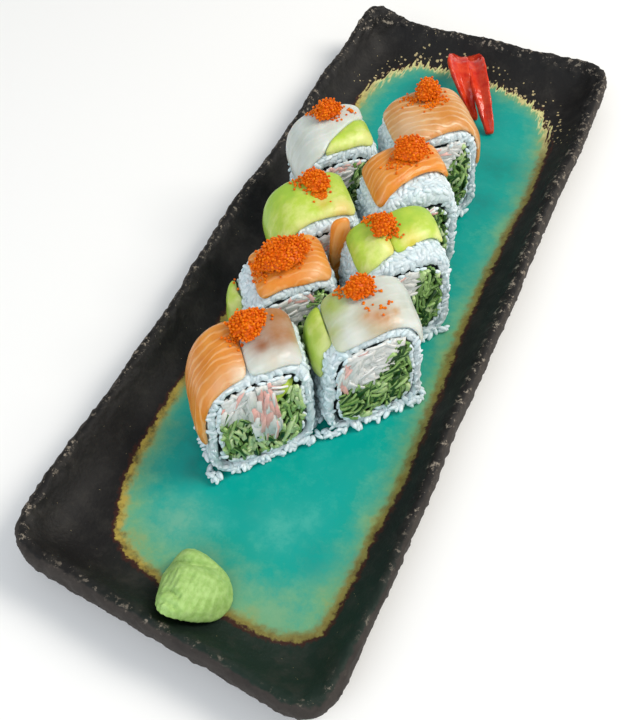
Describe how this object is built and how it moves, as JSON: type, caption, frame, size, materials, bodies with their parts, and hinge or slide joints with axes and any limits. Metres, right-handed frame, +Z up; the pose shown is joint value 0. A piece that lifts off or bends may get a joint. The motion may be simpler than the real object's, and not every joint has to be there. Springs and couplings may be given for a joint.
{
  "type": "uramaki roll platter",
  "caption": "Inside-out sushi roll cut into thick pieces topped with fish, avocado and roe, in rows on a long glazed stoneware plate with wasabi and pickled ginger.",
  "frame": {"origin": "middle of the box round the plate and food, on the plane that the plate stands on", "axes": "+Z up, +Y along the plate towards the end with the ginger, +X to the right seen from the wasabi end"},
  "size_m": [0.1264, 0.3398, 0.0589],
  "materials": {
    "stoneware": "dark rough glaze with a teal glaze pool edged in ochre",
    "rice": "moist cooked rice, soft sheen",
    "nori": "damp dark green-black seaweed sheet",
    "crab": "white strands with pink edges",
    "cucumber": "moist shreds, pale green with dark green skin",
    "roe": "glossy orange eggs",
    "avocado": "soft and buttery, slight sheen",
    "salmon": "moist orange fish with pale fat lines",
    "pale_salmon": "moist pale orange fish with pale fat lines",
    "white_fish": "moist translucent pale fish",
    "wasabi": "matt paste with a fine grain",
    "ginger": "wet red slices"
  },
  "bodies": {
    "root": {"plate": "stoneware", "rice_L1": "rice", "rice_L2": "rice", "rice_L3": "rice", "rice_L4": "rice", "rice_R1": "rice", "rice_R2": "rice", "rice_R3": "rice", "rice_R4": "rice", "nori_L1": "nori", "nori_L2": "nori", "nori_L3": "nori", "nori_L4": "nori", "nori_R1": "nori", "nori_R2": "nori", "nori_R3": "nori", "nori_R4": "nori", "crab_L1": "crab", "crab_L2": "crab", "crab_L3": "crab", "crab_L4": "crab", "crab_R1": "crab", "crab_R2": "crab", "crab_R3": "crab", "crab_R4": "crab", "cucumber_L1": "cucumber", "cucumber_L2": "cucumber", "cucumber_L3": "cucumber", "cucumber_L4": "cucumber", "cucumber_R1": "cucumber", "cucumber_R2": "cucumber", "cucumber_R3": "cucumber", "cucumber_R4": "cucumber", "roe_L1": "roe", "roe_L2": "roe", "roe_L3": "roe", "roe_L4": "roe", "roe_R1": "roe", "roe_R2": "roe", "roe_R3": "roe", "roe_R4": "roe", "avocado_filling_L1": "avocado", "salmon_L1": "salmon", "white_fish_L1": "white_fish", "salmon_L2": "salmon", "avocado_L2": "avocado", "avocado_L3": "avocado", "white_fish_L4": "white_fish", "avocado_L4": "avocado", "avocado_R1": "avocado", "white_fish_R1": "white_fish", "avocado_left_R2": "avocado", "avocado_right_R2": "avocado", "salmon_R3": "salmon", "salmon_R4": "pale_salmon", "salmon_strip_L3": "salmon", "wasabi": "wasabi", "ginger_front": "ginger", "ginger_back": "ginger"}
  },
  "joints": []
}
